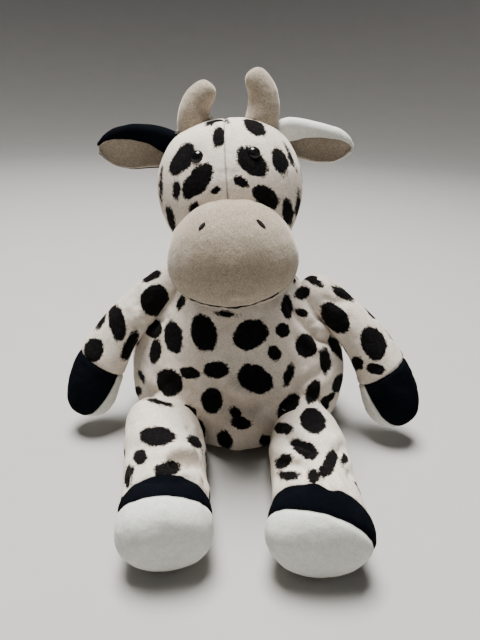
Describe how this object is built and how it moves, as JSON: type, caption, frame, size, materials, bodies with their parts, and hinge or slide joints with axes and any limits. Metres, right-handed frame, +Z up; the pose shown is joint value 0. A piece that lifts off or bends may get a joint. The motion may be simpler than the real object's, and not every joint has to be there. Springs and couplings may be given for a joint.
{
  "type": "plush cow",
  "caption": "Seated plush cow with a spotted pile body, taupe velour muzzle and horns, black hoof caps, pale soles and palms, and a head and limbs that turn",
  "frame": {"origin": "under the middle of the seat, on the face that the toy sits on", "axes": "+Z up, the toy faces -Y, and +X is its left side"},
  "size_m": [0.2027, 0.2123, 0.1944],
  "materials": {
    "spotted_pile": "short cream pile with dense near-black spots, soft and slightly fuzzy",
    "taupe_velour": "taupe velour with a short even nap",
    "black_pile": "short black pile, slightly blue",
    "white_pile": "short greenish white pile",
    "stuffing": "white polyester fibre, unseen",
    "black_gloss": "glossy black bead",
    "black_thread": "matte black embroidery thread",
    "clear_plastic": "natural plastic lock washer, unseen",
    "white_tape": "blank white woven tape, and the unseen pellet bag"
  },
  "bodies": {
    "torso": {"body_front_panel": "spotted_pile", "body_back_panel_left": "spotted_pile", "body_back_panel_right": "spotted_pile", "body_stuffing": "stuffing", "seat_pellet_bag": "white_tape", "side_tape": "white_tape"},
    "neck": {"neck_stuffing": "stuffing"},
    "head": {"head_panel_left": "spotted_pile", "head_panel_right": "spotted_pile", "head_stuffing": "stuffing", "muzzle_panel": "taupe_velour", "chin_panel": "taupe_velour", "muzzle_stuffing": "stuffing", "mouth_thread": "black_thread", "eye_left": "black_gloss", "eye_right": "black_gloss", "eye_washer_left": "clear_plastic", "eye_washer_right": "clear_plastic", "nostril_left": "black_thread", "nostril_right": "black_thread", "horn_front_left": "taupe_velour", "horn_front_right": "taupe_velour", "horn_back_left": "taupe_velour", "horn_back_right": "taupe_velour", "horn_stuffing_left": "stuffing", "horn_stuffing_right": "stuffing"},
    "ear_left": {"ear_back_left": "white_pile", "ear_lining_left": "taupe_velour"},
    "ear_right": {"ear_back_right": "black_pile", "ear_lining_right": "taupe_velour"},
    "arm_left": {"arm_sleeve_left": "spotted_pile", "hoof_left": "black_pile", "palm_left": "white_pile", "arm_stuffing_left": "stuffing"},
    "arm_right": {"arm_sleeve_right": "spotted_pile", "hoof_right": "black_pile", "palm_right": "white_pile", "arm_stuffing_right": "stuffing"},
    "leg_left": {"leg_cover_left": "spotted_pile", "foot_top_left": "black_pile", "foot_sole_left": "white_pile", "leg_stuffing_left": "stuffing"},
    "leg_right": {"leg_cover_right": "spotted_pile", "foot_top_right": "black_pile", "foot_sole_right": "white_pile", "leg_stuffing_right": "stuffing"},
    "tail": {"tail_cord": "spotted_pile", "tail_tuft": "black_pile"}
  },
  "joints": [
    {"name": "head_turn", "type": "hinge", "parent": "torso", "child": "neck", "pos_m": [-0.001, -0.004, 0.08], "axis": [0, 0, 1], "range_deg": [-25, 25], "stiffness_Nm_per_rad": 0.3},
    {"name": "head_nod", "type": "hinge", "parent": "neck", "child": "head", "pos_m": [-0.001, -0.004, 0.08], "axis": [0.9945, 0, 0.1045], "range_deg": [-14, 8], "stiffness_Nm_per_rad": 0.3},
    {"name": "ear_left_flap", "type": "hinge", "parent": "head", "child": "ear_left", "pos_m": [0.01869, 0, 0.16301], "axis": [0.1197, 0.0313, 0.9923], "range_deg": [-20, 20], "stiffness_Nm_per_rad": 0.02},
    {"name": "ear_right_flap", "type": "hinge", "parent": "head", "child": "ear_right", "pos_m": [-0.03824, 0, 0.15552], "axis": [0.0508, -0.0218, 0.9985], "range_deg": [-20, 20], "stiffness_Nm_per_rad": 0.02},
    {"name": "arm_left_raise", "type": "hinge", "parent": "torso", "child": "arm_left", "pos_m": [0.043, -0.007, 0.0825], "axis": [0, -1, 0], "range_deg": [0, 75], "stiffness_Nm_per_rad": 0.1},
    {"name": "arm_right_raise", "type": "hinge", "parent": "torso", "child": "arm_right", "pos_m": [-0.043, -0.007, 0.0825], "axis": [0, 1, 0], "range_deg": [0, 75], "stiffness_Nm_per_rad": 0.1},
    {"name": "leg_left_lift", "type": "hinge", "parent": "torso", "child": "leg_left", "pos_m": [0.038, -0.047, 0.016], "axis": [-1, 0, 0], "range_deg": [0, 40], "stiffness_Nm_per_rad": 0.1},
    {"name": "leg_right_lift", "type": "hinge", "parent": "torso", "child": "leg_right", "pos_m": [-0.038, -0.047, 0.016], "axis": [-1, 0, 0], "range_deg": [0, 40], "stiffness_Nm_per_rad": 0.1},
    {"name": "tail_swing", "type": "hinge", "parent": "torso", "child": "tail", "pos_m": [0, 0.045, 0.034], "axis": [0, 0, 1], "range_deg": [-30, 30], "stiffness_Nm_per_rad": 0.01}
  ]
}
